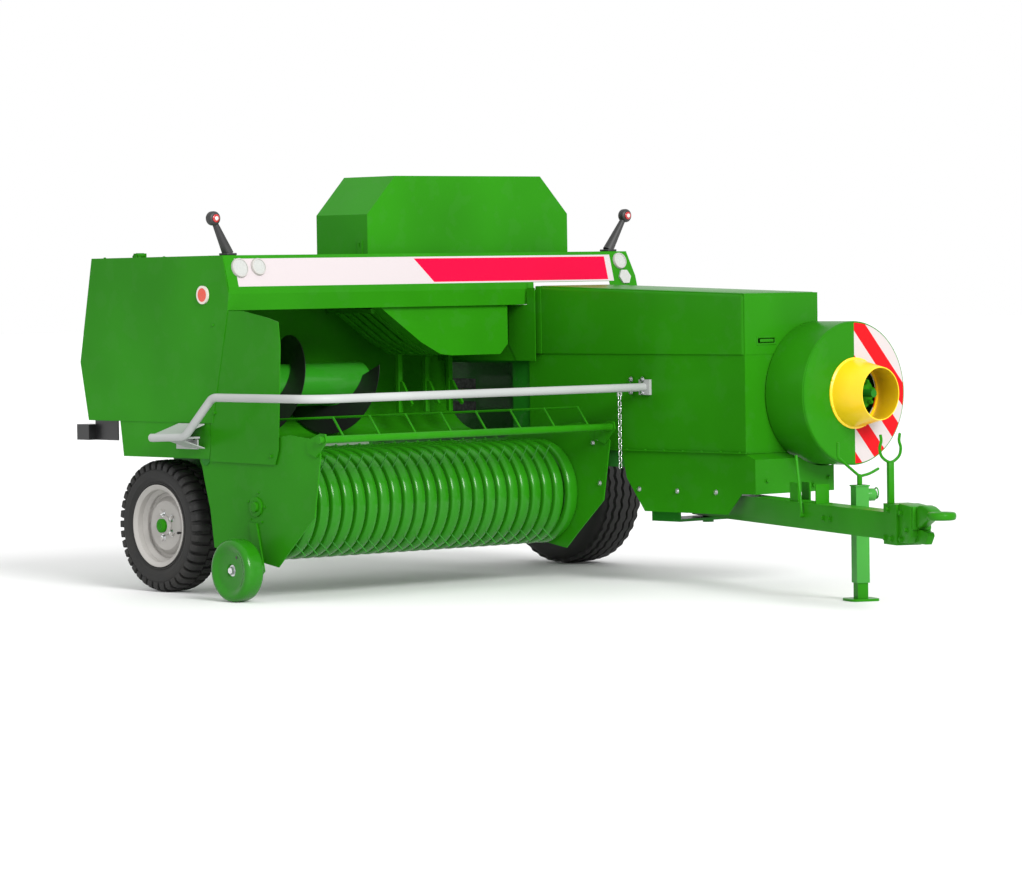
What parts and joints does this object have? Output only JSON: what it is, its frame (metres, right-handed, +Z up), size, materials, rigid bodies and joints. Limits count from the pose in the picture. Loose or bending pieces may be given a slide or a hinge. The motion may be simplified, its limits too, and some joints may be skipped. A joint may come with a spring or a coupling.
{
  "type": "square baler",
  "caption": "Towed square baler: side pickup with tine reel and feed auger, long bale chamber with knotters, hooded drive with flywheel guard, swung drawbar with jack.",
  "frame": {"origin": "on the ground under the middle of the machine's length and width, parked", "axes": "+X forwards to the hitch, +Y to the machine's left, +Z up"},
  "size_m": [5.3956, 2.8069, 1.83],
  "materials": {
    "green_paint": "gloss",
    "bare_steel": "satin",
    "cast_housing": "satin",
    "warning_guard": "gloss",
    "yellow_plastic": "satin",
    "grey_rail": "satin",
    "lamp_rubber": "matte",
    "reflector": "gloss",
    "lamp_box": "matte",
    "zinc_chain": "satin",
    "zinc_rod": "satin",
    "spring_steel": "satin",
    "silver_rim": "satin",
    "tyre_rubber": "matte"
  },
  "bodies": {
    "machine": {"axle": "green_paint", "chassis_frame": "green_paint", "bale_chamber": "green_paint", "chamber_tension": "green_paint", "knotters": "bare_steel", "needle_yoke": "green_paint", "side_panel": "green_paint", "side_shield": "green_paint", "front_beam": "green_paint", "twine_box": "green_paint", "divider_wall": "green_paint", "feed_trough": "green_paint", "feeder_cover": "green_paint", "feeder_forks": "bare_steel", "hood_side": "green_paint", "hood_skirt": "green_paint", "gearbox": "cast_housing", "flywheel_guard": "warning_guard", "shaft_cone": "yellow_plastic", "guard_rail": "grey_rail", "marker_lamps": "lamp_rubber", "reflectors": "reflector", "tail_lamps": "lamp_box", "pickup_chain": "zinc_chain"},
    "right_wheel": {"right_rim": "silver_rim", "right_tyre": "tyre_rubber"},
    "left_wheel": {"left_rim": "silver_rim", "left_tyre": "tyre_rubber"},
    "input": {"input_shaft": "bare_steel"},
    "auger_body": {"auger": "green_paint"},
    "pickup": {"pickup_frame": "green_paint", "stripper_bands": "green_paint"},
    "reel": {"tine_reel": "spring_steel"},
    "guard_rods": {"wind_guard": "green_paint"},
    "gauge": {"gauge_wheel": "green_paint"},
    "drawbar_arm": {"drawbar": "green_paint", "hitch_eye": "green_paint", "jack_tube": "green_paint", "hose_forks": "zinc_rod"},
    "jack_foot": {"jack_leg": "green_paint"},
    "hood_lid": {"hood_cover": "green_paint"},
    "top_lid": {"top_cover": "green_paint"},
    "rear_lid": {"twine_door": "green_paint"},
    "chute": {"bale_chute": "green_paint"}
  },
  "joints": [
    {"name": "right_wheel_spin", "type": "hinge", "parent": "machine", "child": "right_wheel", "pos_m": [-1.12814, -1.1285, 0.2925], "axis": [0, 1, 0], "continuous": true},
    {"name": "left_wheel_spin", "type": "hinge", "parent": "machine", "child": "left_wheel", "pos_m": [-1.12814, 1.2715, 0.38], "axis": [0, 1, 0], "continuous": true},
    {"name": "input_spin", "type": "hinge", "parent": "machine", "child": "input", "pos_m": [1.17186, 0.9345, 0.842], "axis": [1, 0, 0], "continuous": true},
    {"name": "auger_spin", "type": "hinge", "parent": "machine", "child": "auger_body", "pos_m": [-0.92814, -0.7285, 0.9], "axis": [0, 1, 0], "continuous": true},
    {"name": "pickup_lift", "type": "hinge", "parent": "machine", "child": "pickup", "pos_m": [-0.73814, -0.4005, 0.6], "axis": [0, -1, 0], "range_deg": [0, 18]},
    {"name": "reel_spin", "type": "hinge", "parent": "pickup", "child": "reel", "pos_m": [-0.38814, -0.4005, 0.4], "axis": [0, 1, 0], "continuous": true},
    {"name": "wind_guard_lift", "type": "hinge", "parent": "pickup", "child": "guard_rods", "pos_m": [0.07786, -0.4005, 0.696], "axis": [0, 1, 0], "range_deg": [0, 15]},
    {"name": "gauge_wheel_spin", "type": "hinge", "parent": "pickup", "child": "gauge", "pos_m": [-0.36314, -1.3585, 0.135], "axis": [0, 1, 0], "continuous": true},
    {"name": "drawbar_swing", "type": "hinge", "parent": "machine", "child": "drawbar_arm", "pos_m": [0.27186, 0.8215, 0.347], "axis": [0, 0, 1], "range_deg": [0, 22.9]},
    {"name": "jack_slide", "type": "slide", "parent": "drawbar_arm", "child": "jack_foot", "axis": [0, 0, 1], "range_m": [-0.2, 0.055]},
    {"name": "hood_lid_open", "type": "hinge", "parent": "machine", "child": "hood_lid", "pos_m": [0.17186, 0.9675, 1.027], "axis": [-1, 0, 0], "range_deg": [0, 95]},
    {"name": "top_lid_open", "type": "hinge", "parent": "machine", "child": "top_lid", "pos_m": [-1.05214, 0.0615, 1.4913], "axis": [0, -1, 0], "range_deg": [0, 85]},
    {"name": "rear_lid_open", "type": "hinge", "parent": "machine", "child": "rear_lid", "pos_m": [-1.52714, -0.3835, 1.49], "axis": [0, 1, 0], "range_deg": [0, 90]},
    {"name": "chute_fold", "type": "hinge", "parent": "machine", "child": "chute", "pos_m": [-2.09614, 0.7475, 0.6], "axis": [0, 1, 0], "range_deg": [0, 100]}
  ]
}
